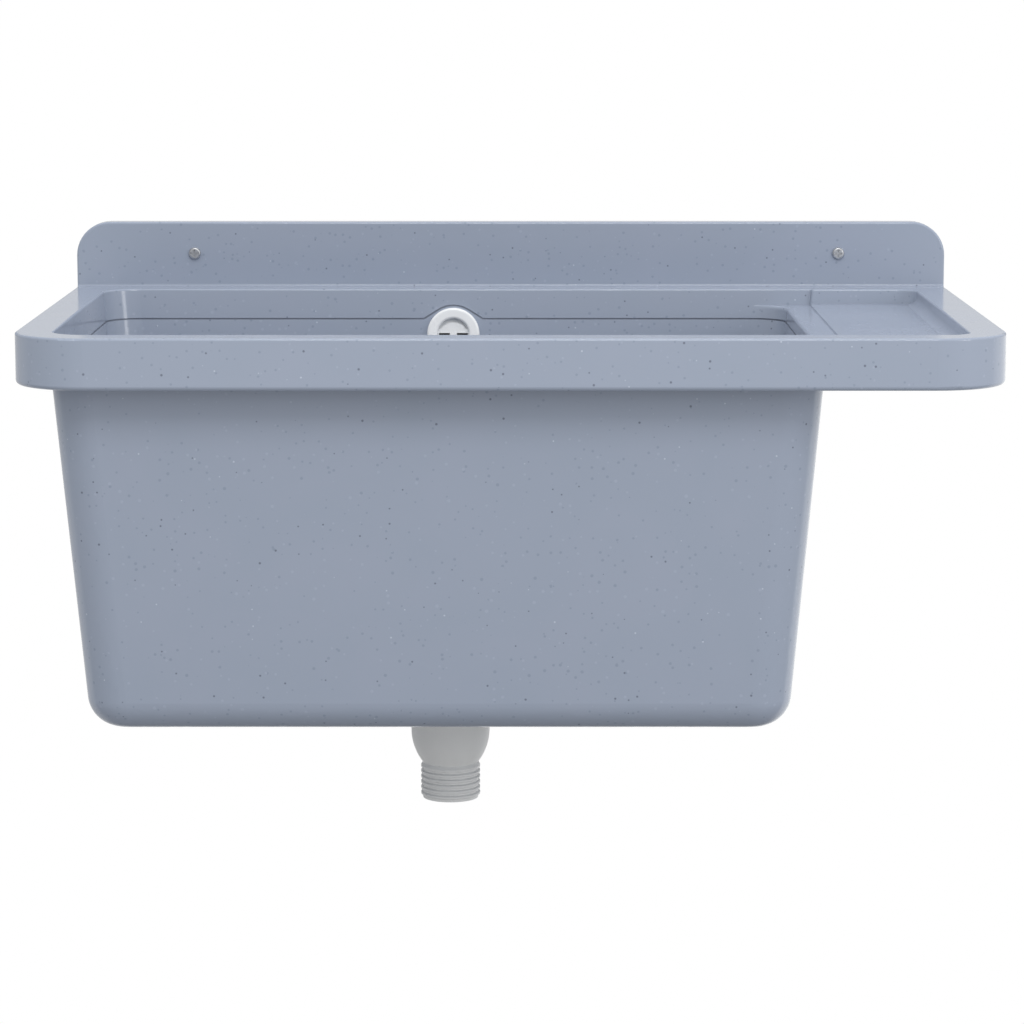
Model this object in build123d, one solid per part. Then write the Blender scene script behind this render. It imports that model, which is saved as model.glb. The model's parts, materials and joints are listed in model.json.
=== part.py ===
"""Wall-hung utility sink: a moulded top bonded to a deep tub, with its waste and overflow fittings.

Millimetres, +X to the right seen from the front, +Y towards the wall, +Z up.
The origin lies on the wall plane, at rim level, at the middle of the rim's width.
"""
import os
from math import cos, radians, sin, tan

from build123d import *

# Rim, apron and backsplash
RIM_WIDTH = 650.0
RIM_DEPTH = 392.0
RIM_CORNER_R = 50.0
RIM_EDGE_R = 1.6
APRON_HEIGHT = 34.0
APRON_FOOT_R = 3.0
TOP_WALL = 4.5
LIP_WIDTH = 25.0
LIP_INNER_R = 1.4
SPLASH_HEIGHT = 48.0
SPLASH_THICK = 12.0
SPLASH_CORNER_R = 25.0
SPLASH_COVE_R = 1.6
BACK_LEDGE = 24.0

# Basin opening and tub
TRAY_ZONE_WIDTH = 120.5
BASIN_CORNER_R = 24.0
BASIN_DRAFT = 4.7
BAND_HEIGHT = 21.5
TUB_WALL = 4.5
TUB_DEPTH = 268.0
TUB_FLOOR = 6.0
TUB_EDGE_R = 22.0
FLANGE_WIDTH = 12.0
FLANGE_THICK = 4.0
BEAD_THICK = 1.2
BEAD_RECESS = 0.8

# Soap tray and the drip step between tray and basin
TRAY_DEPTH = 11.0
TRAY_SWEEP_R = 7.5
TRAY_CORNER_R = 16.0
TRAY_BACK_SHELF = 3.6
TRAY_NOSE_R = 1.8
STEP_DROP = 1.0
STEP_WIDTH = 19.0
STEP_CORNER_R = 1.0
STEP_EDGE_R = 2.5
BRINK_FACETS = 4

# Wall screws
SCREW_LEFT_INSET = 88.4
SCREW_RIGHT_INSET = 79.7
SCREW_Z = 24.6
SCREW_HEAD_R = 4.5
SCREW_HEAD_HEIGHT = 2.2
SCREW_HEAD_EDGE_R = 1.4
SCREW_SHANK_R = 2.6
SCREW_HOLE_GAP = 0.6
SCREW_CREST_R = 3.0
SCREW_ROOT_R = 2.2
SCREW_PITCH = 3.0
SCREW_CREST_WIDTH = 0.8
SCREW_TURNS = 13
SCREW_TIP = 6.0
SCREW_CROSS_LENGTH = 6.0
SCREW_CROSS_WIDTH = 1.3
SCREW_CROSS_DEPTH = 1.8

# Overflow: cover, seal and elbow, square to the tub's sloping back wall
FITTINGS_X = -42.6
OVERFLOW_DROP = 33.4
COVER_R = 19.5
COVER_THICK = 4.0
COVER_EDGE_R = 1.8
COVER_MOUTH_R = 11.6
COVER_STEM_WALL = 2.6
COVER_STEM_REACH = 8.0
COVER_WEB_DEEP = 3.2
COVER_WEB_THICK = 2.0
COVER_LINING = 1.0
COVER_SLOT_HEIGHT = 1.6
COVER_POST_WIDTH = 5.3
COVER_SLOT_END = 0.8
COVER_GAP_RISE = 3.0
COVER_BAR_HEIGHT = 8.0
STEM_HOLE_GAP = 0.5
STEM_THREAD_GAP = 0.1
ARCH_R = 21.8
ARCH_SLOPE = 32.0
ARCH_FOOT_R = 14.0
OVERFLOW_BAY_WIDTH = 64.0
OVERFLOW_SEAL_THICK = 2.5
ELBOW_FLANGE_R = 20.0
ELBOW_FLANGE_THICK = 3.0
ELBOW_WALL = 2.5
ELBOW_BACK = 31.0

# Overflow pipe and its compression joints
PIPE_R = 9.0
PIPE_BORE_R = 7.5
PIPE_STAND_OFF = 20.0
PIPE_BEND_R = 36.0
PIPE_DEPTH_IN = 12.0
PIPE_GAP = 0.2
SPIGOT_R = 12.0
SPIGOT_LENGTH = 14.0
NUT_R = 14.6
NUT_GAP = 0.3
NUT_COLLAR = 3.0
NUT_LENGTH = 16.0
NUT_FLUTES = 16
NUT_FLUTE_R = 1.2
RING_LENGTH = 4.0

# Waste: strainer, seals, body, screw and insert
DRAIN_R = 26.0
STRAINER_R = 35.0
STRAINER_THICK = 1.2
CUP_R = 23.0
CUP_DEPTH = 10.0
STRAINER_SEAL_THICK = 1.8
SEAT_GAP = 1.0
GRID_HOLE_R = 3.0
GRID_PITCH_R = 15.5
GRID_HOLES = 10
WASTE_SEAL_THICK = 3.0
WASTE_FLANGE_R = 42.0
WASTE_FLANGE_THICK = 4.0
BULB_R = 27.7
BULB_WALL = 2.6
BULB_STRAIGHT = 21.0
BULB_HEIGHT = 46.0
BULB_WAIST_R = 25.6
BULB_WAIST_DROP = 35.0
TAIL_CREST_R = 20.95
TAIL_ROOT_R = 19.6
TAIL_BORE_R = 16.5
TAIL_PITCH = 3.9
TAIL_CREST_WIDTH = 1.3
TAIL_RIDGES = 6
TAIL_LEAD = 2.2
SPIDER_TOP_DROP = 8.0
SPIDER_HEIGHT = 13.0
SPIDER_BOSS_R = 8.5
SPIDER_RIB = 3.0
SPIDER_RIBS = 3
INSERT_R = 5.2
INSERT_HEIGHT = 10.0
WASTE_SCREW_R = 2.9
WASTE_SCREW_GAP = 0.1
WASTE_TIP_GAP = 2.0
WASTE_HEAD_R = 5.5
WASTE_HEAD_HEIGHT = 2.6
WASTE_HEAD_EDGE_R = 1.2
WASTE_SLOT_WIDTH = 1.2
WASTE_SLOT_DEPTH = 1.2
INLET_DROP = 20.0
INLET_REACH = 52.0

# Plug
PLUG_LIP_R = 26.5
PLUG_LIP_THICK = 3.0
PLUG_GAP = 0.4
PLUG_TAPER = 0.8
PLUG_REACH = 6.5
PLUG_BOSS_R = 10.0
PLUG_BOSS_HEIGHT = 4.0
PLUG_EDGE_R = 1.0
PULL_STEM_R = 3.5
PULL_STEM_DEEP = 5.0
PULL_NECK = 6.0
PULL_KNOB_R = 8.0
PULL_KNOB_HEIGHT = 11.0
PULL_KNOB_TOP_R = 5.0
PULL_KNOB_FOOT_R = 3.0

# Places that follow from the sizes above
HALF_RIM = RIM_WIDTH / 2
SCREW_LEFT_X = -HALF_RIM + SCREW_LEFT_INSET
SCREW_RIGHT_X = HALF_RIM - SCREW_RIGHT_INSET
SPLASH_FACE_Y = -SPLASH_THICK
BASIN_LEFT = -HALF_RIM + LIP_WIDTH
BASIN_RIGHT = HALF_RIM - TRAY_ZONE_WIDTH
BASIN_FRONT = -RIM_DEPTH + LIP_WIDTH
BASIN_BACK = SPLASH_FACE_Y - BACK_LEDGE
BASIN_WIDTH = BASIN_RIGHT - BASIN_LEFT
BASIN_LENGTH = BASIN_BACK - BASIN_FRONT
BASIN_X = (BASIN_LEFT + BASIN_RIGHT) / 2
BASIN_Y = (BASIN_FRONT + BASIN_BACK) / 2
SLOPE = tan(radians(BASIN_DRAFT))
TUB_TOP_Z = -BAND_HEIGHT - BEAD_THICK
FLOOR_Z = -TUB_DEPTH + TUB_FLOOR
STEP_DEPTH = TRAY_DEPTH + STEP_DROP
TRAY_LEFT = BASIN_RIGHT + STEP_WIDTH
TRAY_RIGHT = HALF_RIM - LIP_WIDTH
TRAY_BACK = BASIN_BACK - TRAY_BACK_SHELF
DRAIN = Location((FITTINGS_X, BASIN_Y, 0))

# The overflow's own plane: on the back wall's inner face, Z out of the wall, Y up along it
OVERFLOW = Plane(
    origin=(FITTINGS_X, BASIN_BACK - OVERFLOW_DROP * SLOPE, -OVERFLOW_DROP),
    x_dir=(1, 0, 0),
    z_dir=(0, -cos(radians(BASIN_DRAFT)), sin(radians(BASIN_DRAFT))),
).location
# Within that plane, the pipe's line: behind the wall, Z down along it
PIPE_LINE = Plane(origin=(0, 0, -PIPE_STAND_OFF), x_dir=(1, 0, 0), z_dir=(0, -1, 0)).location
WALL_SQUARE = TUB_WALL * cos(radians(BASIN_DRAFT))
STEM_R = COVER_MOUTH_R + COVER_STEM_WALL
SEAL_BACK = -WALL_SQUARE - OVERFLOW_SEAL_THICK
SPIGOT_END = ELBOW_FLANGE_R + SPIGOT_LENGTH

# Waste levels, from the tub floor down
STRAINER_TOP_Z = FLOOR_Z
SEAT_DEPTH = STRAINER_THICK + STRAINER_SEAL_THICK
CUP_FLOOR_Z = STRAINER_TOP_Z - CUP_DEPTH
WASTE_TOP_Z = -TUB_DEPTH - WASTE_SEAL_THICK
BULB_TOP_Z = WASTE_TOP_Z - WASTE_FLANGE_THICK
TAIL_TOP_Z = BULB_TOP_Z - BULB_HEIGHT
TAIL_END_Z = TAIL_TOP_Z - TAIL_LEAD - TAIL_RIDGES * TAIL_PITCH
SPIDER_TOP_Z = BULB_TOP_Z - SPIDER_TOP_DROP
INLET_Z = BULB_TOP_Z - INLET_DROP
INLET = Plane(origin=(FITTINGS_X, BASIN_Y, INLET_Z), x_dir=(1, 0, 0), z_dir=(0, 1, 0)).location
PULL_FOOT_Z = STRAINER_TOP_Z + PLUG_LIP_THICK + PLUG_BOSS_HEIGHT - PULL_STEM_DEEP

# Overshoot of a cut past a face, and how near a point has to lie to a face to be on it
CUT = 1.0
NEAR = 0.01


def turned(points):
    """A solid of revolution about Z from (radius, height) points."""
    outline = Plane.XZ * make_face(Polyline(*points, close=True))
    return revolve(outline, Axis.Z)


def tube(outer_r, inner_r, low, high):
    """A plain ring about Z between two heights."""
    return turned([(inner_r, low), (outer_r, low), (outer_r, high), (inner_r, high)])


def rod(radius, low, high):
    """A plain cylinder about Z between two heights."""
    return Pos(0, 0, low) * extrude(Circle(radius), high - low)


def ridged(root_r, crest_r, pitch, crest, count):
    """A thread's ridges along its length from zero, as (radius, distance) points that start on a crest."""
    flank = (pitch - crest) / 3
    points = []
    for turn in range(count):
        first = turn * pitch
        points += [
            (crest_r, first),
            (crest_r, first + crest),
            (root_r, first + crest + flank),
            (root_r, first + crest + 2 * flank),
        ]
    return points


def basin_slice(height, grow, reach=0):
    """The basin's inside outline at a height, grown outwards by a wall and stretched to the right."""
    inset = -height * SLOPE
    width = BASIN_WIDTH - 2 * inset + 2 * grow + reach
    length = BASIN_LENGTH - 2 * inset + 2 * grow
    outline = RectangleRounded(width, length, BASIN_CORNER_R + grow)
    return Pos(BASIN_X + reach / 2, BASIN_Y, height) * outline


def basin_taper(top, bottom, grow):
    """The tapered block inside the basin's walls between two heights."""
    return loft([basin_slice(top, grow), basin_slice(bottom, grow)], ruled=True)


def basin_ring(top, bottom, grow_in, grow_out):
    """A straight ring that follows the basin's outline at its top height."""
    outline = basin_slice(top, grow_out) - basin_slice(top, grow_in)
    return extrude(outline, amount=-(top - bottom), dir=(0, 0, 1))


def overflow_bay():
    """The space that both flanges leave free for the overflow fitting behind the back wall."""
    depth = -BASIN_BACK + LIP_WIDTH
    height = APRON_HEIGHT + BAND_HEIGHT
    return Pos(FITTINGS_X, -depth / 2, -height / 2) * Box(OVERFLOW_BAY_WIDTH, depth, height)


def joint_arch(radius, base):
    """Everything below the joint line at the back wall: level at its base, arched over the overflow."""
    bay = OVERFLOW_BAY_WIDTH / 2
    rise = -OVERFLOW_DROP
    slope = radians(ARCH_SLOPE)
    touch_x = radius * sin(slope)
    touch_z = rise + radius * cos(slope)
    foot_x = touch_x + (touch_z - base) / tan(slope)
    low = -2 * OVERFLOW_DROP
    with BuildSketch(Plane.XZ) as arch:
        with BuildLine():
            Polyline((touch_x, touch_z), (foot_x, base), (bay, base), (bay, low))
            Polyline((bay, low), (-bay, low), (-bay, base), (-foot_x, base), (-touch_x, touch_z))
            ThreePointArc((-touch_x, touch_z), (0, rise + radius), (touch_x, touch_z))
        make_face()
        feet = [v for v in arch.vertices() if abs(v.Z - base) < NEAR and abs(abs(v.X) - foot_x) < NEAR]
        fillet(feet, ARCH_FOOT_R)
    return Pos(FITTINGS_X, SPLASH_FACE_Y, 0) * extrude(arch.sketch, BACK_LEDGE + LIP_WIDTH)


def is_level(edge, height):
    """True for an edge that lies flat at a height."""
    return all(abs((edge @ along).Z - height) < NEAR for along in (0, 0.5, 1))


def is_top_outline(edge):
    """True for the edge that runs along the rim, up the cove's ends and round the backsplash."""
    middle = edge @ 0.5
    on_wall = middle.Y > -NEAR
    below = middle.Z < -NEAR
    in_cove = middle.Y > SPLASH_FACE_Y - SPLASH_COVE_R - NEAR and middle.Z < SPLASH_COVE_R + NEAR
    return not (on_wall or below or (in_cove and abs(middle.X) < NEAR))


def is_inside_rim(point):
    """True for a point well inside the rim's outline and in front of the backsplash's cove."""
    side = abs(point.X) < HALF_RIM - RIM_EDGE_R - NEAR
    front = point.Y > -RIM_DEPTH + RIM_EDGE_R + NEAR
    back = point.Y < SPLASH_FACE_Y - SPLASH_COVE_R - NEAR
    return side and front and back


def screw_plane(x):
    """A wall screw's plane on the backsplash's face, Z into the wall."""
    return Plane(origin=(x, SPLASH_FACE_Y, SCREW_Z), x_dir=(1, 0, 0), z_dir=(0, 1, 0)).location


def rim_outline():
    """The rim's plan: straight along the wall, with its two front corners round."""
    plan = Pos(0, -RIM_DEPTH / 2) * Rectangle(RIM_WIDTH, RIM_DEPTH)
    return fillet(plan.vertices().group_by(Axis.Y)[0], RIM_CORNER_R)


def opening_slice(height, grow):
    """The opening's outline at a height: the basin and the drip step beside it, with tight corners there."""
    inset = -height * SLOPE - grow
    width = TRAY_LEFT - BASIN_LEFT - 2 * inset
    length = BASIN_LENGTH - 2 * inset
    outline = Pos((BASIN_LEFT + TRAY_LEFT) / 2, BASIN_Y, height) * Rectangle(width, length)
    outline = fillet(outline.vertices().group_by(Axis.X)[0], BASIN_CORNER_R + grow)
    return fillet(outline.vertices().group_by(Axis.X)[-1], STEP_CORNER_R + grow)


def opening_block(grow):
    """The upper part of the opening, down to the drip step."""
    return loft([opening_slice(CUT, grow), opening_slice(-STEP_DEPTH - grow, grow)], ruled=True)


def basin_block():
    """The basin from the drip step down, its brink rounded by a flare in short steps."""
    slices = []
    for turn in range(BRINK_FACETS + 1):
        angle = radians(90 * turn / BRINK_FACETS)
        drop = STEP_EDGE_R * (1 - cos(angle))
        slices.append(basin_slice(-STEP_DEPTH - drop, 0, STEP_EDGE_R * (1 - sin(angle))))
    return loft(slices + [basin_slice(-APRON_HEIGHT - CUT, 0)], ruled=True)


def tray_slice(height, grow):
    """The tray's outline at a height, reaching into the drip step on its left."""
    inset = -height * SLOPE - grow
    left = TRAY_LEFT - STEP_CORNER_R - CUT
    width = TRAY_RIGHT - inset - left
    length = TRAY_BACK - BASIN_FRONT - 2 * inset
    return Pos(left + width / 2, (TRAY_BACK + BASIN_FRONT) / 2, height) * Rectangle(width, length)


def tray_block(grow):
    """The tray's recess, whose right wall sweeps up from the floor and whose right corners are round."""
    square = loft([tray_slice(CUT, grow), tray_slice(-TRAY_DEPTH - grow, grow)], ruled=True)
    upright = [edge for edge in square.edges() if not is_level(edge, (edge @ 0).Z)]
    corners = [edge for edge in upright if edge.center().X > TRAY_LEFT]
    rounded = fillet(corners, TRAY_CORNER_R + grow)
    sweep_edge = square.faces().sort_by(Axis.Z)[0].edges().sort_by(Axis.X)[-1]
    return fillet(sweep_edge, TRAY_SWEEP_R + grow) & rounded


def moulded_block():
    """The top moulding's outside: rim and backsplash as one solid block with rounded edges."""
    deck = Pos(0, 0, -APRON_HEIGHT) * extrude(rim_outline(), APRON_HEIGHT)
    panel = Pos(0, SPLASH_HEIGHT / 2) * Rectangle(RIM_WIDTH, SPLASH_HEIGHT)
    panel = fillet(panel.vertices().group_by(Axis.Y)[-1], SPLASH_CORNER_R)
    block = deck + extrude(Plane.XZ * panel, SPLASH_THICK)
    cove = [
        edge
        for edge in block.edges().filter_by(Axis.X)
        if abs(edge.center().Z) < NEAR and abs(edge.center().Y - SPLASH_FACE_Y) < NEAR
    ]
    block = fillet(cove, SPLASH_COVE_R)
    block = fillet([edge for edge in block.edges() if is_top_outline(edge)], RIM_EDGE_R)
    feet = [edge for edge in block.edges().group_by(Axis.Z)[0] if edge.center().Y < -NEAR]
    return fillet(feet, APRON_FOOT_R)


def make_sink_top():
    """Rim, apron, tray and backsplash as one moulding, open underneath."""
    top = moulded_block()
    top -= opening_block(0)
    top -= basin_block()
    top -= tray_block(0)
    nose_at = Vector(TRAY_LEFT, TRAY_BACK, -TRAY_DEPTH / 2)
    nose = top.edges().sort_by_distance(nose_at)[0]
    top = fillet(nose, TRAY_NOSE_R)
    lip = [edge for edge in top.edges() if is_level(edge, 0) and is_inside_rim(edge @ 0.5)]
    top = fillet(lip, LIP_INNER_R)

    room = offset(rim_outline(), -TOP_WALL)
    hollow = Pos(0, 0, -APRON_HEIGHT - CUT) * extrude(room, APRON_HEIGHT + CUT - TOP_WALL)
    hollow -= basin_taper(0, -BAND_HEIGHT, TOP_WALL)
    hollow -= basin_ring(-BAND_HEIGHT + FLANGE_THICK, -BAND_HEIGHT, 0, FLANGE_WIDTH) - overflow_bay()
    hollow -= opening_block(TOP_WALL)
    hollow -= tray_block(TOP_WALL)
    top -= hollow
    top -= joint_arch(ARCH_R, -BAND_HEIGHT)
    for x in (SCREW_LEFT_X, SCREW_RIGHT_X):
        top -= screw_plane(x) * rod(SCREW_SHANK_R + SCREW_HOLE_GAP, -CUT, SPLASH_THICK + CUT)
    return top


def make_basin_tub():
    """The tapered tub: a shell with a bonding flange, a tongue behind the overflow and a drain seat."""
    outside = basin_taper(0, -TUB_DEPTH, TUB_WALL)
    outside = fillet(outside.edges().group_by(Axis.Z)[0], TUB_EDGE_R)
    inside = basin_taper(CUT, FLOOR_Z, 0)
    inside = fillet(inside.edges().group_by(Axis.Z)[0], TUB_EDGE_R - TUB_WALL)
    shell = outside - inside
    below = Pos(0, -RIM_DEPTH / 2, TUB_TOP_Z - TUB_DEPTH / 2) * Box(RIM_WIDTH, RIM_DEPTH, TUB_DEPTH)
    flange = basin_ring(TUB_TOP_Z, TUB_TOP_Z - FLANGE_THICK, 0, FLANGE_WIDTH) - overflow_bay()
    tub = shell & (below + joint_arch(ARCH_R - BEAD_THICK, TUB_TOP_Z))
    tub += flange
    tub -= DRAIN * rod(STRAINER_R + SEAT_GAP, FLOOR_Z - SEAT_DEPTH, FLOOR_Z + CUT)
    tub -= DRAIN * rod(DRAIN_R, -TUB_DEPTH - CUT, FLOOR_Z)
    tub -= OVERFLOW * rod(STEM_R + STEM_HOLE_GAP, -WALL_SQUARE - CUT, CUT)
    return tub


def make_bond_bead():
    """The adhesive between the two mouldings, set back from the basin's face so that a groove shows."""
    bay = overflow_bay()
    ring = basin_ring(-BAND_HEIGHT, TUB_TOP_Z, BEAD_RECESS, FLANGE_WIDTH) - bay
    arch = joint_arch(ARCH_R, -BAND_HEIGHT) - joint_arch(ARCH_R - BEAD_THICK, TUB_TOP_Z)
    wall = basin_taper(0, -APRON_HEIGHT, TOP_WALL) - basin_taper(CUT, -APRON_HEIGHT - CUT, BEAD_RECESS)
    return ring + (arch & wall & bay)


def make_wall_screw(x):
    """A screw that holds the backsplash to the wall, with its point standing out behind it."""
    head = rod(SCREW_HEAD_R, -SCREW_HEAD_HEIGHT, 0)
    head = fillet(head.edges().group_by(Axis.Z)[0], SCREW_HEAD_EDGE_R)
    arm = Box(SCREW_CROSS_LENGTH, SCREW_CROSS_WIDTH, 2 * SCREW_CROSS_DEPTH)
    cross = Pos(0, 0, -SCREW_HEAD_HEIGHT) * (arm + Rot(0, 0, 90) * arm)
    shank = [(0, 0), (SCREW_SHANK_R, 0), (SCREW_SHANK_R, SPLASH_THICK)]
    thread = ridged(SCREW_ROOT_R, SCREW_CREST_R, SCREW_PITCH, SCREW_CREST_WIDTH, SCREW_TURNS)
    thread = [(radius, SPLASH_THICK + along) for radius, along in thread]
    end = SPLASH_THICK + SCREW_TURNS * SCREW_PITCH
    screw = head - cross + turned(shank + thread + [(SCREW_ROOT_R, end), (0, end + SCREW_TIP)])
    return screw_plane(x) * screw


def make_overflow_cover():
    """The white rosette: a rounded ring, a recessed web with slots, a lining above them and a hollow stem."""
    ring = tube(COVER_R, COVER_MOUTH_R, 0, COVER_THICK)
    ring = fillet(ring.edges().group_by(Axis.Z)[-1], COVER_EDGE_R)
    stem = tube(STEM_R, COVER_MOUTH_R, SEAL_BACK - COVER_STEM_REACH, 0)
    web_top = COVER_THICK - COVER_WEB_DEEP
    web_back = web_top - COVER_WEB_THICK
    through = 2 * (COVER_WEB_THICK + COVER_LINING + CUT)
    disc = rod(COVER_MOUTH_R, web_back, web_top)
    bar = Pos(0, 0, web_top) * Box(2 * COVER_R, COVER_BAR_HEIGHT, through)
    web = (disc & bar) + (disc & Pos(0, COVER_GAP_RISE, 0) * disc & Pos(0, -COVER_GAP_RISE, 0) * disc)
    upper = Pos(0, COVER_R / 2, web_top) * Box(2 * COVER_R, COVER_R, through)
    web += rod(COVER_MOUTH_R, web_back - COVER_LINING, web_back) & upper
    reach = COVER_MOUTH_R - COVER_POST_WIDTH / 2 - COVER_SLOT_END
    for side in (-1, 1):
        middle = side * (COVER_POST_WIDTH + reach) / 2
        web -= Pos(middle, 0, web_top) * Box(reach, COVER_SLOT_HEIGHT, through)
    return OVERFLOW * (ring + stem + web)


def make_overflow_seal():
    """The rubber ring between the tub's wall and the elbow."""
    return OVERFLOW * tube(ELBOW_FLANGE_R, STEM_R + STEM_HOLE_GAP, SEAL_BACK, -WALL_SQUARE)


def make_overflow_elbow():
    """The elbow behind the wall: a flanged cup that takes the stem, with a threaded spigot downwards."""
    bore_r = STEM_R + STEM_THREAD_GAP
    flange = rod(ELBOW_FLANGE_R, SEAL_BACK - ELBOW_FLANGE_THICK, SEAL_BACK)
    cup = rod(bore_r + ELBOW_WALL, -ELBOW_BACK, SEAL_BACK)
    cup = fillet(cup.edges().group_by(Axis.Z)[0], ELBOW_WALL)
    body = flange + cup + PIPE_LINE * rod(SPIGOT_R, 0, SPIGOT_END)
    body -= rod(bore_r, -ELBOW_BACK + ELBOW_WALL, SEAL_BACK + CUT)
    body -= PIPE_LINE * rod(PIPE_BORE_R, 0, SPIGOT_END)
    body -= PIPE_LINE * rod(PIPE_R + PIPE_GAP, SPIGOT_END - PIPE_DEPTH_IN, SPIGOT_END + CUT)
    return OVERFLOW * body


def compression_nut():
    """A fluted nut about Z: its collar holds the pipe, its skirt covers a spigot that ends at zero."""
    high = RING_LENGTH + NUT_COLLAR
    low = high - NUT_LENGTH
    nut = rod(NUT_R, low, high)
    nut = fillet(nut.edges().group_by(Axis.Z)[-1], NUT_FLUTE_R)
    nut -= PolarLocations(NUT_R, NUT_FLUTES) * rod(NUT_FLUTE_R, low - CUT, high + CUT)
    nut -= rod(SPIGOT_R + NUT_GAP, low - CUT, RING_LENGTH)
    return nut - rod(PIPE_R + PIPE_GAP, low, high + CUT)


def compression_ring():
    """The rubber ring that the nut presses between the spigot's end and the pipe."""
    return tube(SPIGOT_R, PIPE_R, 0, RING_LENGTH)


def make_overflow_pipe():
    """The rigid pipe from the elbow down behind the tub and forward into the waste body."""
    start = (OVERFLOW * PIPE_LINE * Pos(0, 0, SPIGOT_END - PIPE_DEPTH_IN)).position
    corner = Vector(start.X, start.Y - (start.Z - INLET_Z) * SLOPE, INLET_Z)
    end = (INLET * Pos(0, 0, INLET_REACH - PIPE_DEPTH_IN)).position
    path = FilletPolyline(start, corner, end, radius=PIPE_BEND_R)
    section = Plane(origin=start, z_dir=path % 0) * (Circle(PIPE_R) - Circle(PIPE_BORE_R))
    return sweep(section, path)


def make_waste_strainer():
    """The pressed steel strainer: a flange in the tub floor and a cup with a ring of drain holes."""
    outer_r = CUP_R + STRAINER_THICK
    low = CUP_FLOOR_Z - STRAINER_THICK
    under = STRAINER_TOP_Z - STRAINER_THICK
    hole_r = WASTE_SCREW_R + WASTE_SCREW_GAP
    cup = turned([
        (hole_r, low),
        (outer_r, low),
        (outer_r, under),
        (STRAINER_R, under),
        (STRAINER_R, STRAINER_TOP_Z),
        (CUP_R, STRAINER_TOP_Z),
        (CUP_R, CUP_FLOOR_Z),
        (hole_r, CUP_FLOOR_Z),
    ])
    cup -= PolarLocations(GRID_PITCH_R, GRID_HOLES) * rod(GRID_HOLE_R, low - CUT, CUP_FLOOR_Z + CUT)
    return DRAIN * cup


def make_strainer_seal():
    """The rubber ring under the strainer's flange."""
    high = STRAINER_TOP_Z - STRAINER_THICK
    return DRAIN * tube(STRAINER_R, DRAIN_R, high - STRAINER_SEAL_THICK, high)


def make_waste_seal():
    """The rubber ring between the tub's underside and the waste body's flange."""
    return DRAIN * tube(WASTE_FLANGE_R, DRAIN_R, WASTE_TOP_Z, -TUB_DEPTH)


def make_waste_body():
    """The waste body: flange, bulb, spider for the clamp screw, overflow inlet and threaded tail."""
    inner_r = BULB_R - BULB_WALL
    straight_z = BULB_TOP_Z - BULB_STRAIGHT
    waist = (BULB_WAIST_R, BULB_TOP_Z - BULB_WAIST_DROP)
    thread = ridged(TAIL_ROOT_R, TAIL_CREST_R, TAIL_PITCH, TAIL_CREST_WIDTH, TAIL_RIDGES)
    thread = [(radius, TAIL_TOP_Z - TAIL_LEAD - along) for radius, along in thread]
    shoulder = (TAIL_ROOT_R, TAIL_TOP_Z)
    flange_down = [
        (inner_r, straight_z),
        (inner_r, WASTE_TOP_Z),
        (WASTE_FLANGE_R, WASTE_TOP_Z),
        (WASTE_FLANGE_R, BULB_TOP_Z),
        (BULB_R, BULB_TOP_Z),
        (BULB_R, straight_z),
    ]
    tail_up = [(TAIL_ROOT_R, TAIL_END_Z), (TAIL_BORE_R, TAIL_END_Z), (TAIL_BORE_R, TAIL_TOP_Z)]
    edge = Polyline(*flange_down) + ThreePointArc((BULB_R, straight_z), waist, shoulder)
    edge += Polyline(shoulder, *thread, *tail_up, (inner_r, straight_z))
    body = revolve(Plane.XZ * make_face(edge), Axis.Z)

    spider = rod(SPIDER_BOSS_R, SPIDER_TOP_Z - SPIDER_HEIGHT, SPIDER_TOP_Z)
    rib = Box(inner_r + BULB_WALL, SPIDER_RIB, SPIDER_HEIGHT)
    rib = Pos(inner_r / 2, 0, SPIDER_TOP_Z - SPIDER_HEIGHT / 2) * rib
    for turn in range(SPIDER_RIBS):
        spider += Rot(0, 0, 360 * turn / SPIDER_RIBS - 90) * rib
    spider &= rod(inner_r + BULB_WALL / 2, SPIDER_TOP_Z - SPIDER_HEIGHT, SPIDER_TOP_Z)
    body += spider
    body -= insert_block()

    inlet = rod(SPIGOT_R, inner_r + BULB_WALL / 2, INLET_REACH)
    body = DRAIN * body + INLET * inlet
    body -= INLET * rod(PIPE_BORE_R, inner_r / 2, INLET_REACH)
    return body - INLET * rod(PIPE_R + PIPE_GAP, INLET_REACH - PIPE_DEPTH_IN, INLET_REACH + CUT)


def insert_block():
    """The hexagon of the brass insert, pressed into the spider's boss from above."""
    return Pos(0, 0, SPIDER_TOP_Z - INSERT_HEIGHT) * extrude(RegularPolygon(INSERT_R, 6), INSERT_HEIGHT)


def make_waste_insert():
    """The brass insert that takes the clamp screw."""
    low = SPIDER_TOP_Z - INSERT_HEIGHT
    return DRAIN * (insert_block() - rod(WASTE_SCREW_R + WASTE_SCREW_GAP, low - CUT, SPIDER_TOP_Z + CUT))


def make_waste_screw():
    """The clamp screw in the strainer's middle."""
    head = rod(WASTE_HEAD_R, CUP_FLOOR_Z, CUP_FLOOR_Z + WASTE_HEAD_HEIGHT)
    head = fillet(head.edges().group_by(Axis.Z)[-1], WASTE_HEAD_EDGE_R)
    slot = Box(2 * WASTE_HEAD_R, WASTE_SLOT_WIDTH, 2 * WASTE_SLOT_DEPTH)
    head -= Pos(0, 0, CUP_FLOOR_Z + WASTE_HEAD_HEIGHT) * slot
    tip = SPIDER_TOP_Z - INSERT_HEIGHT + WASTE_TIP_GAP
    return DRAIN * (head + rod(WASTE_SCREW_R, tip, CUP_FLOOR_Z))


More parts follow.
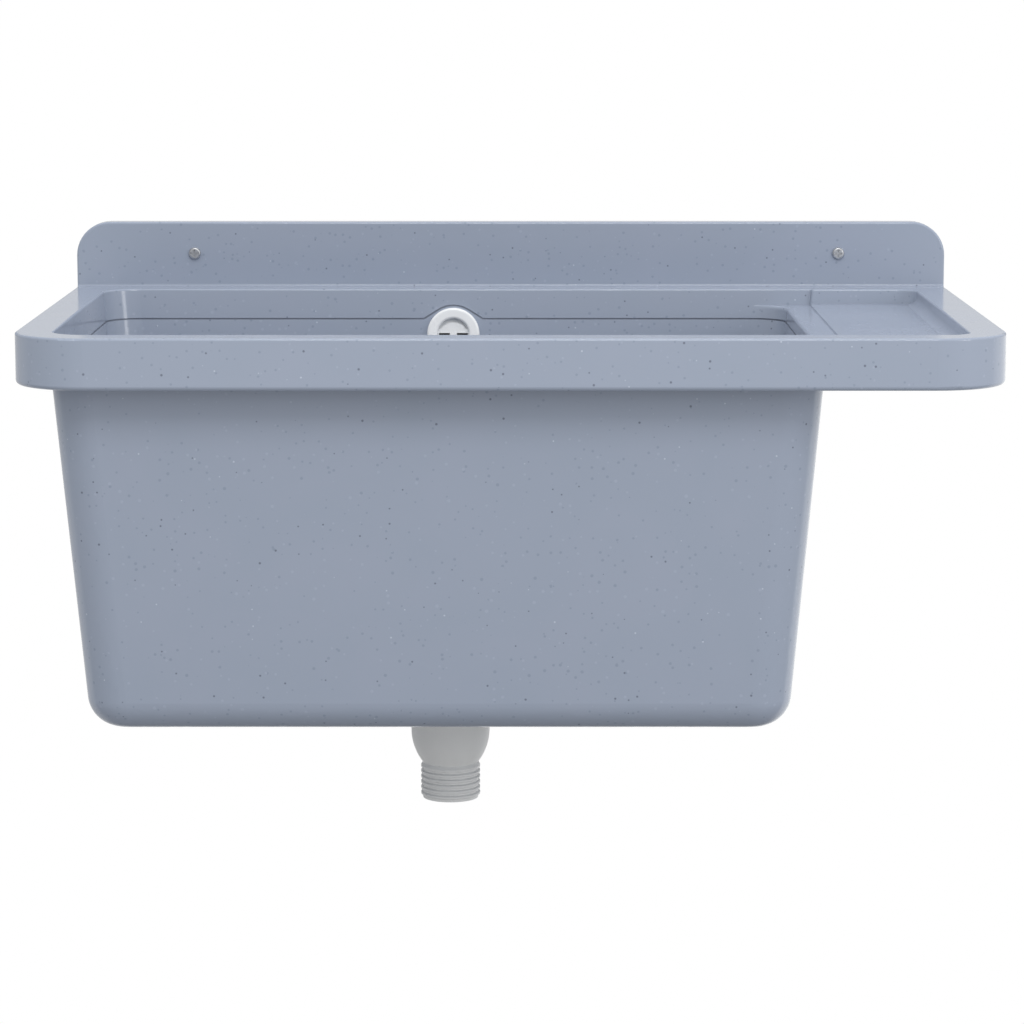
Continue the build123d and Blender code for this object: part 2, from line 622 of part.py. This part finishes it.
def make_drain_plug():
    """The rubber plug: a lip on the strainer's flange, a tapered body in its cup and a boss for the pull."""
    seat_r = CUP_R - PLUG_GAP
    lip_top = STRAINER_TOP_Z + PLUG_LIP_THICK
    plug = turned([
        (0, STRAINER_TOP_Z - PLUG_REACH),
        (seat_r - PLUG_TAPER, STRAINER_TOP_Z - PLUG_REACH),
        (seat_r, STRAINER_TOP_Z),
        (PLUG_LIP_R, STRAINER_TOP_Z),
        (PLUG_LIP_R, lip_top),
        (PLUG_BOSS_R, lip_top),
        (PLUG_BOSS_R, lip_top + PLUG_BOSS_HEIGHT),
        (0, lip_top + PLUG_BOSS_HEIGHT),
    ])
    rims = plug.edges().filter_by(GeomType.CIRCLE)
    plug = fillet([edge for edge in rims if edge.center().Z > STRAINER_TOP_Z + NEAR], PLUG_EDGE_R)
    return DRAIN * (plug - rod(PULL_STEM_R, PULL_FOOT_Z, PULL_FOOT_Z + PULL_STEM_DEEP + CUT))


def make_plug_pull():
    """The knob on the plug: a stem in the plug's boss, a neck and a rounded head."""
    base = PULL_FOOT_Z + PULL_STEM_DEEP
    knob_z = base + PULL_NECK
    stem = rod(PULL_STEM_R, PULL_FOOT_Z, knob_z)
    knob = rod(PULL_KNOB_R, knob_z, knob_z + PULL_KNOB_HEIGHT)
    knob = fillet(knob.edges().group_by(Axis.Z)[-1], PULL_KNOB_TOP_R)
    knob = fillet(knob.edges().group_by(Axis.Z)[0], PULL_KNOB_FOOT_R)
    return DRAIN * (stem + knob)


def make_parts():
    """Every piece of the sink by its node's name."""
    elbow_end = OVERFLOW * PIPE_LINE * Pos(0, 0, SPIGOT_END)
    inlet_end = INLET * Pos(0, 0, INLET_REACH)
    return {
        "sink_top": make_sink_top(),
        "basin_tub": make_basin_tub(),
        "bond_bead": make_bond_bead(),
        "wall_screw_left": make_wall_screw(SCREW_LEFT_X),
        "wall_screw_right": make_wall_screw(SCREW_RIGHT_X),
        "overflow_cover": make_overflow_cover(),
        "overflow_seal": make_overflow_seal(),
        "overflow_elbow": make_overflow_elbow(),
        "elbow_nut": elbow_end * compression_nut(),
        "elbow_ring": elbow_end * compression_ring(),
        "overflow_pipe": make_overflow_pipe(),
        "inlet_nut": inlet_end * compression_nut(),
        "inlet_ring": inlet_end * compression_ring(),
        "waste_strainer": make_waste_strainer(),
        "strainer_seal": make_strainer_seal(),
        "waste_seal": make_waste_seal(),
        "waste_body": make_waste_body(),
        "waste_insert": make_waste_insert(),
        "waste_screw": make_waste_screw(),
        "drain_plug": make_drain_plug(),
        "plug_pull": make_plug_pull(),
    }


os.makedirs("parts", exist_ok=True)
for node, piece in make_parts().items():
    export_step(piece, f"parts/{node}.step")
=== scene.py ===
# %% [markdown]
# # A speckled utility sink
# The sink is a wall-hung tub of cast resin with a soap tray, a white overflow rosette and a plastic waste.
# Its shapes are solids that arrive ready made, so this lesson is about finish: what each surface
# is made of, how light meets it, and how little it takes to turn one flat colour into stone-like resin,
# plastic or steel.

# %% Load the solids
import json
from math import radians

import bmesh
import bpy
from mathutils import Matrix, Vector


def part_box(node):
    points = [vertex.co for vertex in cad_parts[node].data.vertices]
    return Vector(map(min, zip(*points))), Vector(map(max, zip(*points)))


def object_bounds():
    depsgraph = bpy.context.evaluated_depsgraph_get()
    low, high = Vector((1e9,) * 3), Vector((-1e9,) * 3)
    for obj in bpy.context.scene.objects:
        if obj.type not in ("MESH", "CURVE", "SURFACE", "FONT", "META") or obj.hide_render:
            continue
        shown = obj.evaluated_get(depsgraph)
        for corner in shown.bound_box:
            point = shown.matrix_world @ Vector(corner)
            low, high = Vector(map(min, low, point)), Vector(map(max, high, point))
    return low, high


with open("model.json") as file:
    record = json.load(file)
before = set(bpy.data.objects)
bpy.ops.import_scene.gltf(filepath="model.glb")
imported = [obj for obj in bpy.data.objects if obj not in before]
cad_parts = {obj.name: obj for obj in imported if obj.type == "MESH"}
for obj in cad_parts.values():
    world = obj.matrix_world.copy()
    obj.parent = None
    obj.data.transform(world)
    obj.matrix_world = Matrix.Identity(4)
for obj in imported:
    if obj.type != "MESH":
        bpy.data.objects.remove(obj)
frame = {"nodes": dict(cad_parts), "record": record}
cad_low, cad_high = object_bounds()
nodes = frame["nodes"]
print(f"{len(nodes)} solids, {(cad_high - cad_low)[0]:.3f} m wide")

# %% [markdown]
# ## The camera
# The photograph looks straight at the sink from a little above the rim, through a long lens.
# A long lens far away keeps the two sides of the tub nearly parallel, which a short lens close by would
# not. The camera is tilted down to frame the sink, with no lens shift, so that it can walk round the
# object later.

# %% Camera
CAMERA_PLACE = (0.001, -2.6118, 0.2319)
CAMERA_TILT = 8.821
CAMERA_LENS = 122.04

camera_data = bpy.data.cameras.new("photo_camera")
camera_data.lens = CAMERA_LENS
camera = bpy.data.objects.new("photo_camera", camera_data)
camera.location = CAMERA_PLACE
camera.rotation_euler = (radians(90 - CAMERA_TILT), 0, 0)
bpy.context.scene.collection.objects.link(camera)
bpy.context.scene.camera = camera
print(f"camera {-CAMERA_PLACE[1]:.2f} m in front of the wall, {CAMERA_LENS} mm lens")

# %% [markdown]
# ## Writing node trees in few lines
# Every finish below is a tree of shader nodes. Clicking them together is quick, but a script is easier
# to repeat, so small helpers do the clicking: they add a node and fill its sockets, do sums, mix colours,
# stretch values and wrap it all up as a node group with named inputs and outputs. A group is worth making
# as soon as two finishes need the same effect, because each of them can then give it values of its own.


# %% Helpers for shader nodes
def add(tree, kind, settings=None, **sockets):
    """A new node with its settings and, by plain name, the values of its input sockets."""
    node = tree.nodes.new(kind)
    for name, value in (settings or {}).items():
        setattr(node, name, value)
    for name, value in sockets.items():
        fill(tree, node.inputs[name.replace("_", " ")], value)
    return node


def fill(tree, socket, value):
    """Joins another node's output to a socket, or writes a plain value into it."""
    if isinstance(value, bpy.types.NodeSocket):
        tree.links.new(value, socket)
    else:
        socket.default_value = value


def maths(tree, operation, *values):
    """A Math node's result for one, two or three values or outputs."""
    node = add(tree, "ShaderNodeMath", {"operation": operation})
    for socket, value in zip(node.inputs, values):
        fill(tree, socket, value)
    return node.outputs[0]


def blend(tree, factor, first, second):
    """A colour that goes from the first to the second as the factor goes from 0 to 1."""
    node = add(tree, "ShaderNodeMix", {"data_type": "RGBA"})
    fill(tree, node.inputs["Factor"], factor)
    fill(tree, node.inputs[6], first)
    fill(tree, node.inputs[7], second)
    return node.outputs[2]


def spread(tree, value, low, high):
    """Stretches a value from 0..1 to low..high."""
    node = add(tree, "ShaderNodeMapRange", Value=value)
    fill(tree, node.inputs["To Min"], low)
    fill(tree, node.inputs["To Max"], high)
    return node.outputs[0]


def ramp(tree, value, low, high, at_low, at_high):
    """A smooth step: one result where the value is low, the other where it is high."""
    node = add(tree, "ShaderNodeMapRange", {"interpolation_type": "SMOOTHSTEP"}, Value=value)
    for name, limit in (("From Min", low), ("From Max", high), ("To Min", at_low), ("To Max", at_high)):
        fill(tree, node.inputs[name], limit)
    return node.outputs[0]


def start_group(name, inputs, outputs):
    """A shader node group with its input values and output names, and the node that holds the inputs."""
    tree = bpy.data.node_groups.new(name, "ShaderNodeTree")
    for label, value in inputs.items():
        kind = "NodeSocketVector" if isinstance(value, tuple) else "NodeSocketFloat"
        tree.interface.new_socket(label, in_out="INPUT", socket_type=kind).default_value = value
    for label in outputs:
        tree.interface.new_socket(label, in_out="OUTPUT", socket_type="NodeSocketFloat")
    return tree, add(tree, "NodeGroupInput").outputs


def end_group(tree, **results):
    """Joins the results to the group's outputs by name."""
    add(tree, "NodeGroupOutput", **results)
    print(f"group {tree.name}: {len(tree.nodes)} nodes")


def use_group(tree, group, **sockets):
    """Places a group in a material and returns its outputs."""
    return add(tree, "ShaderNodeGroup", {"node_tree": group}, **sockets).outputs


# %% [markdown]
# ## Specks
# Stone-look resin is a clear binder full of coloured chips. A surface cut through it shows discs of many
# sizes, because it passes through the middle of one chip and grazes the next. A Voronoi texture in three
# dimensions does the same: it scatters one point in each cell of space, and the distance to that point
# draws a ball. Cutting those balls with the sink's surface gives the right mix of sizes for nothing.
# Two of the cell's random colours decide whether it holds a chip at all and how large the chip is.

# %% Speck group
SMALLEST_SPECK = 0.5
SOLID_CORE = 0.6

speck_group, given = start_group(
    "specks",
    {"Cells per metre": 150.0, "Size": 0.1, "Share": 0.5, "Shift": (0.0, 0.0, 0.0)},
    ["Mask"],
)
place = add(speck_group, "ShaderNodeTexCoord").outputs["Object"]
shifted = add(speck_group, "ShaderNodeVectorMath", {"operation": "ADD"})
fill(speck_group, shifted.inputs[0], place)
fill(speck_group, shifted.inputs[1], given["Shift"])
cells = add(speck_group, "ShaderNodeTexVoronoi", Vector=shifted.outputs[0], Scale=given["Cells per metre"])
chance = add(speck_group, "ShaderNodeSeparateColor", Color=cells.outputs["Color"]).outputs
present = maths(speck_group, "LESS_THAN", chance["Red"], given["Share"])
luck = spread(speck_group, chance["Green"], SMALLEST_SPECK, 1.0)
radius = maths(speck_group, "MULTIPLY", luck, given["Size"])
core = maths(speck_group, "MULTIPLY", radius, SOLID_CORE)
disc = ramp(speck_group, cells.outputs["Distance"], core, radius, 1.0, 0.0)
end_group(speck_group, Mask=maths(speck_group, "MULTIPLY", disc, present))

# %% [markdown]
# ## Moulded skin
# Nothing that comes out of a mould is a perfect mirror. The skin waves a little over centimetres where the
# material shrank, and it is dulled in soft patches where hands and cloths went over it. Both are noise
# at two scales: the first becomes a height for a Bump node, the second shifts the roughness up and down.

# %% Moulded skin group
skin_group, given = start_group(
    "moulded_skin",
    {"Waves per metre": 90.0, "Marks per metre": 18.0},
    ["Height", "Marks"],
)
place = add(skin_group, "ShaderNodeTexCoord").outputs["Object"]
waves = add(
    skin_group, "ShaderNodeTexNoise", Vector=place, Scale=given["Waves per metre"], Detail=2.0
)
marks = add(
    skin_group,
    "ShaderNodeTexNoise",
    Vector=place,
    Scale=given["Marks per metre"],
    Detail=6.0,
    Distortion=1.2,
)
end_group(skin_group, Height=waves.outputs[0], Marks=marks.outputs[0])

# %% [markdown]
# ## Tool rings
# Turned and spun metal keeps the path of the tool as fine rings round its axis. The distance from that
# axis, folded by a sine, draws them. A little noise stops every ring from looking the same.

# %% Tool ring group
RING_WANDER = 5.0

ring_group, given = start_group(
    "tool_rings",
    {"Axis point": (0.0, 0.0, 0.0), "Across": (1.0, 1.0, 0.0), "Rings per metre": 1500.0},
    ["Height"],
)
place = add(ring_group, "ShaderNodeTexCoord").outputs["Object"]
from_axis = add(ring_group, "ShaderNodeVectorMath", {"operation": "SUBTRACT"})
fill(ring_group, from_axis.inputs[0], place)
fill(ring_group, from_axis.inputs[1], given["Axis point"])
flat = add(ring_group, "ShaderNodeVectorMath", {"operation": "MULTIPLY"})
fill(ring_group, flat.inputs[0], from_axis.outputs[0])
fill(ring_group, flat.inputs[1], given["Across"])
reach = add(ring_group, "ShaderNodeVectorMath", {"operation": "LENGTH"})
fill(ring_group, reach.inputs[0], flat.outputs[0])
wander = add(ring_group, "ShaderNodeTexNoise", Vector=place, Scale=300.0, Detail=3.0).outputs[0]
turns = maths(ring_group, "MULTIPLY", reach.outputs["Value"], given["Rings per metre"])
phase = maths(ring_group, "MULTIPLY_ADD", wander, RING_WANDER, turns)
end_group(ring_group, Height=spread(ring_group, maths(ring_group, "SINE", phase), 0.0, 1.0))


# %% [markdown]
# ## From groups to a material
# Every finish ends in one Principled shader. Its colour, roughness and normal change over the surface,
# so those three are joined to nodes. What is the same everywhere, such as the index of refraction,
# is written straight into the shader's own socket.

# %% Material helpers
def start_material(name):
    """An empty material, its node tree and its Principled shader."""
    material = bpy.data.materials.new(name)
    material.use_nodes = True
    tree = material.node_tree
    tree.nodes.clear()
    shader = add(tree, "ShaderNodeBsdfPrincipled")
    add(tree, "ShaderNodeOutputMaterial", Surface=shader.outputs[0])
    return material, tree, shader


def bump(tree, shader, height, depth):
    """Gives the shader a relief of a depth in metres."""
    relief = add(tree, "ShaderNodeBump", Height=height, Distance=depth)
    fill(tree, shader.inputs["Normal"], relief.outputs[0])


# %% [markdown]
# ## Cast resin
# The body of the sink is blue-grey, clearly glossy, and full of specks of four kinds: sparse dark and pale
# ones about a millimetre across, and larger faint and milky ones that only read as texture from a step
# away. Each kind is one use of the speck group with its own spacing, size and share of filled cells.
# The ground colour drifts slightly too, because pigment never mixes perfectly.

# %% Cast resin
RESIN_GROUND = (0.276, 0.320, 0.398, 1)
RESIN_DRIFT = (0.296, 0.332, 0.416, 1)
SPECK_DARK = (0.150, 0.172, 0.222, 1)
SPECK_FAINT = (0.238, 0.278, 0.352, 1)
SPECK_MILKY = (0.312, 0.352, 0.440, 1)
SPECK_PALE = (0.430, 0.475, 0.560, 1)
RESIN_GLOSS = (0.10, 0.20)
RESIN_IOR = 1.5
RESIN_RELIEF = 0.00002

resin, tree, shader = start_material("cast_resin")
skin = use_group(tree, skin_group, Waves_per_metre=25.0, Marks_per_metre=14.0)
colour = blend(tree, skin["Marks"], RESIN_GROUND, RESIN_DRIFT)
for paint, density, size, share in (
    (SPECK_FAINT, 190.0, 0.26, 0.55),
    (SPECK_MILKY, 160.0, 0.24, 0.55),
    (SPECK_PALE, 110.0, 0.085, 0.40),
    (SPECK_DARK, 120.0, 0.125, 0.55),
):
    mask = use_group(
        tree, speck_group, Cells_per_metre=density, Size=size, Share=share, Shift=(density, 0.0, 0.0)
    )
    colour = blend(tree, mask["Mask"], colour, paint)
fill(tree, shader.inputs["Base Color"], colour)
fill(tree, shader.inputs["Roughness"], spread(tree, skin["Marks"], *RESIN_GLOSS))
shader.inputs["IOR"].default_value = RESIN_IOR
bump(tree, shader, skin["Height"], RESIN_RELIEF)
print("cast resin: four kinds of speck")

# %% [markdown]
# ## The bonding bead
# The two mouldings are glued together, and the glue sits a little back from the face. It is a dull
# blue-grey darker than the resin: partly the glue's own tint, partly painted shade for the shadow in the
# narrow gap. It has some unevenness: a ground colour that drifts, soft marks in the gloss, and a relief.
# The plastics and the plated steel below are the same recipe with other values, so it is a function.


# %% Bonding bead
def moulded(name, ground, drift, gloss, waves, marks, depth, metallic=0.0):
    """A finish with two tints, a range of roughness and a skin of waves and marks per metre."""
    material, tree, shader = start_material(name)
    skin = use_group(tree, skin_group, Waves_per_metre=waves, Marks_per_metre=marks)
    fill(tree, shader.inputs["Base Color"], blend(tree, skin["Marks"], ground, drift))
    fill(tree, shader.inputs["Roughness"], spread(tree, skin["Marks"], *gloss))
    shader.inputs["Metallic"].default_value = metallic
    bump(tree, shader, skin["Height"], depth)
    print(f"moulded finish {name}")
    return material


# The bead's dark colour is partly painted shade, standing in for the shadow in the gap between the
# mouldings.
bead = moulded(
    "bead_darkened_for_gap_shade",
    ground=(0.19, 0.215, 0.265, 1),
    drift=(0.245, 0.27, 0.33, 1),
    gloss=(0.5, 0.8),
    waves=700.0,
    marks=120.0,
    depth=0.0002,
)

# %% [markdown]
# ## White and grey plastic
# The rosette and the plug's knob are white and smooth, the waste fittings grey and slightly dull.
# The skin relief is finer on the grey fittings, whose moulds are left as the spark eroded them.

# %% Plastics
white_plastic = moulded(
    "white_plastic",
    ground=(0.76, 0.775, 0.79, 1),
    drift=(0.82, 0.83, 0.84, 1),
    gloss=(0.18, 0.34),
    waves=220.0,
    marks=45.0,
    depth=0.00003,
)
grey_plastic = moulded(
    "grey_plastic",
    ground=(0.665, 0.676, 0.682, 1),
    drift=(0.720, 0.728, 0.731, 1),
    gloss=(0.34, 0.52),
    waves=1600.0,
    marks=45.0,
    depth=0.00006,
)

# %% [markdown]
# ## Rubber
# Seals and plug are black rubber. New rubber has a faint grey bloom, which is what keeps it from being
# a black hole in the picture. The bloom follows the marks, and the skin has a fine tooth.


# %% Rubber
RUBBER_DUST = (0.11, 0.11, 0.11, 1)
RUBBER_TOOTH = 0.00005


def rubber(name, ground, bloom, gloss):
    """A rubber with its dark ground, its grey bloom and its range of roughness."""
    material, tree, shader = start_material(name)
    skin = use_group(tree, skin_group, Waves_per_metre=2200.0, Marks_per_metre=70.0)
    dust = use_group(tree, speck_group, Cells_per_metre=900.0, Size=0.16, Share=0.25)
    colour = blend(tree, skin["Marks"], ground, bloom)
    fill(tree, shader.inputs["Base Color"], blend(tree, dust["Mask"], colour, RUBBER_DUST))
    fill(tree, shader.inputs["Roughness"], spread(tree, skin["Marks"], *gloss))
    bump(tree, shader, skin["Height"], RUBBER_TOOTH)
    print(f"rubber {name}")
    return material


seal_rubber = rubber(
    "seal_rubber", ground=(0.018, 0.018, 0.019, 1), bloom=(0.045, 0.045, 0.046, 1), gloss=(0.55, 0.8)
)
plug_rubber = rubber(
    "plug_rubber", ground=(0.022, 0.022, 0.024, 1), bloom=(0.055, 0.055, 0.058, 1), gloss=(0.35, 0.6)
)

# %% [markdown]
# ## Metal
# The strainer is spun from stainless steel and the insert is turned brass, so both carry tool rings round
# the drain's upright axis. The screws are zinc plated, which looks like a soft grain of pale and dark grey.
# A metal's colour is the colour of its reflection, so the shader's Metallic is 1 and the rest is relief
# and roughness.

# %% Metals
strainer_low, strainer_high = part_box("waste_strainer")
drain = (strainer_low + strainer_high) / 2


def turned_metal(name, ground, stain, gloss, rings, depth):
    """A metal with tool rings round the drain's axis, faint stains and a range of roughness."""
    material, tree, shader = start_material(name)
    skin = use_group(tree, skin_group, Waves_per_metre=500.0, Marks_per_metre=60.0)
    tool = use_group(tree, ring_group, Axis_point=tuple(drain), Rings_per_metre=rings)
    fill(tree, shader.inputs["Base Color"], blend(tree, skin["Marks"], ground, stain))
    fill(tree, shader.inputs["Roughness"], spread(tree, skin["Marks"], *gloss))
    shader.inputs["Metallic"].default_value = 1.0
    bump(tree, shader, tool["Height"], depth)
    print(f"turned metal {name}")
    return material


strainer_steel = turned_metal(
    "strainer_steel",
    ground=(0.66, 0.66, 0.67, 1),
    stain=(0.56, 0.56, 0.57, 1),
    gloss=(0.16, 0.34),
    rings=9000.0,
    depth=0.00002,
)
brass = turned_metal(
    "brass",
    ground=(0.72, 0.52, 0.22, 1),
    stain=(0.58, 0.40, 0.17, 1),
    gloss=(0.25, 0.45),
    rings=12000.0,
    depth=0.00002,
)
zinc = moulded(
    "zinc_plate",
    ground=(0.48, 0.49, 0.51, 1),
    drift=(0.62, 0.63, 0.65, 1),
    gloss=(0.32, 0.5),
    waves=900.0,
    marks=350.0,
    depth=0.00003,
    metallic=1.0,
)

# %% [markdown]
# ## Dressing the solids
# Each solid names a finish in the record, and each finish has one material here, so a short table
# dresses the sink.

# %% Dress the solids
FINISHES = {
    "resin": resin,
    "bead": bead,
    "screw_steel": zinc,
    "white_plastic": white_plastic,
    "rubber": seal_rubber,
    "grey_plastic": grey_plastic,
    "strainer_steel": strainer_steel,
    "brass": brass,
    "plug_rubber": plug_rubber,
}
for subpart in frame["record"]["subparts"]:
    solid = nodes[subpart["node"]]
    solid.data.materials.clear()
    solid.data.materials.append(FINISHES[subpart["material_slot"]])
print(f"{len(nodes)} solids dressed in {len(FINISHES)} finishes")

# %% [markdown]
# ## Studio
# A catalogue picture stands on pure white, but an all-white room would wash the sink out. So the world
# is white only to the camera and to a view through something. What lights the sink is a gradient: strong
# overhead, calmer at eye level and a little weaker from the left, which is how the photograph is shaded.
# Reflections see a dimmer gradient of their own, because full white would lie like a veil over the glossy
# resin. Only what lies low behind the sink stays bright in them, and that draws the pale edge down both
# sides of the tub.
# The world hands a shader the direction of each ray, so every part of the gradient is a smooth step
# along one axis of that direction: Z for height, X for left and right, Y for front and back.

# %% World
OVERHEAD_LIGHT = 1.95
SKY_LIGHT = 0.88
GROUND_LIGHT = 0.79
LEFT_SHADE = 0.85
GLOSS_GROUND = 0.2
GLOSS_SKY = 0.68
GLOSS_LEFT_SHADE = 0.7
BACKDROP_LEFT = 0.7
BACKDROP_RIGHT = 1.25
WHITE = (1, 1, 1, 1)
HORIZON = (-0.3, 0.5)
ZENITH = (0.45, 0.95)
LEFT_TO_RIGHT = (-0.9, 0.5)
GLOSS_HORIZON = (-0.42, -0.16)
GLOSS_LEFT_TO_MIDDLE = (-0.6, 0.0)
BACKDROP_TOP = (-0.12, -0.04)
BACKDROP_DEPTH = (0.2, 0.45)
BACKDROP_ENDS = (-0.6, 0.6)

scene = bpy.context.scene
scene.view_settings.view_transform = "Standard"
world = bpy.data.worlds.new("studio_white")
scene.world = world
world.use_nodes = True
tree = world.node_tree
tree.nodes.clear()
ray = add(tree, "ShaderNodeLightPath").outputs
seen = maths(tree, "MAXIMUM", ray["Is Camera Ray"], ray["Is Transmission Ray"])
aim = add(tree, "ShaderNodeTexCoord").outputs["Generated"]
aim = add(tree, "ShaderNodeSeparateXYZ", Vector=aim).outputs

upright = ramp(tree, aim["Z"], *HORIZON, GROUND_LIGHT, SKY_LIGHT)
overhead = ramp(tree, aim["Z"], *ZENITH, 1.0, OVERHEAD_LIGHT)
sideways = ramp(tree, aim["X"], *LEFT_TO_RIGHT, LEFT_SHADE, 1.0)
mirrored = ramp(tree, aim["Z"], *GLOSS_HORIZON, GLOSS_GROUND, GLOSS_SKY)
shade = ramp(tree, aim["X"], *GLOSS_LEFT_TO_MIDDLE, GLOSS_LEFT_SHADE, 1.0)
mirrored = maths(tree, "MULTIPLY", mirrored, shade)
low_down = ramp(tree, aim["Z"], *BACKDROP_TOP, 1.0, 0.0)
behind = maths(tree, "MULTIPLY", ramp(tree, aim["Y"], *BACKDROP_DEPTH, 0.0, 1.0), low_down)
backdrop = ramp(tree, aim["X"], *BACKDROP_ENDS, BACKDROP_LEFT, BACKDROP_RIGHT)
change = maths(tree, "SUBTRACT", backdrop, mirrored)
mirrored = maths(tree, "MULTIPLY_ADD", change, behind, mirrored)
light = maths(tree, "MULTIPLY", maths(tree, "MULTIPLY", upright, overhead), sideways)
change = maths(tree, "SUBTRACT", mirrored, light)
light = maths(tree, "MULTIPLY_ADD", change, ray["Is Glossy Ray"], light)
calm = add(tree, "ShaderNodeBackground", Color=WHITE, Strength=light)
white = add(tree, "ShaderNodeBackground", Color=WHITE, Strength=1.0)
either = add(tree, "ShaderNodeMixShader", Fac=seen)
fill(tree, either.inputs[1], calm.outputs[0])
fill(tree, either.inputs[2], white.outputs[0])
add(tree, "ShaderNodeOutputWorld", Surface=either.outputs[0])
print(f"world {world.name}: {len(tree.nodes)} nodes")

# %% [markdown]
# ## Floor
# The floor lies as far below the rim as a real one. It is a pale disc that keeps the sink's shadow and fades
# out to the white before the camera could see an edge. To everything but the camera its paint is darker,
# and that draws the soft dark edge under the tub.

# %% Floor
FLOOR_DROP = 0.85
FLOOR_PLAIN = 0.4
FLOOR_RADIUS = 1.0
FLOOR_SIDES = 96
FLOOR_PAINT = 0.82
FLOOR_BOUNCE = 0.16

floor_mesh = bpy.data.meshes.new("floor")
disc = bmesh.new()
bmesh.ops.create_circle(disc, cap_ends=True, segments=FLOOR_SIDES, radius=FLOOR_RADIUS)
disc.to_mesh(floor_mesh)
disc.free()
floor = bpy.data.objects.new("floor", floor_mesh)
floor.location = (0, (cad_low.y + cad_high.y) / 2, -FLOOR_DROP)
scene.collection.objects.link(floor)

floor_paint = bpy.data.materials.new("pale_floor")
floor_paint.use_nodes = True
tree = floor_paint.node_tree
tree.nodes.clear()
place = add(tree, "ShaderNodeTexCoord").outputs["Object"]
reach = add(tree, "ShaderNodeVectorMath", {"operation": "LENGTH"})
fill(tree, reach.inputs[0], place)
fade = ramp(tree, reach.outputs["Value"], FLOOR_PLAIN, FLOOR_RADIUS, 0.0, 1.0)
shown = add(tree, "ShaderNodeLightPath").outputs["Is Camera Ray"]
paint = add(tree, "ShaderNodeBsdfDiffuse", Color=spread(tree, shown, FLOOR_BOUNCE, FLOOR_PAINT))
clear = add(tree, "ShaderNodeBsdfTransparent")
either = add(tree, "ShaderNodeMixShader", Fac=fade)
fill(tree, either.inputs[1], paint.outputs[0])
fill(tree, either.inputs[2], clear.outputs[0])
add(tree, "ShaderNodeOutputMaterial", Surface=either.outputs[0])
floor_mesh.materials.append(floor_paint)
print(f"floor {FLOOR_DROP} m below the rim")

# %% [markdown]
# ## Lamps
# The photograph's light comes from two softboxes: one high in front, which leaves the soft shade under
# the apron, and a weaker one on the right, which catches the edges of the tray.

# %% Lamps
SINK_MIDDLE = Vector((0, -0.2, -0.1))


def softbox(name, place, size, power):
    """An oblong soft lamp that points at the sink."""
    lamp = bpy.data.lights.new(name, "AREA")
    lamp.shape = "RECTANGLE"
    lamp.size, lamp.size_y = size
    lamp.energy = power
    holder = bpy.data.objects.new(name, lamp)
    holder.location = place
    aim = SINK_MIDDLE - Vector(place)
    holder.rotation_euler = aim.to_track_quat("-Z", "Y").to_euler()
    scene.collection.objects.link(holder)
    print(f"lamp {name}: {power} W, {aim.length:.2f} m away")


softbox("high_front", place=(0.15, -1.85, 1.68), size=(1.0, 0.75), power=18.0)
softbox("right", place=(1.9, -1.7, 0.5), size=(0.6, 1.0), power=9.0)
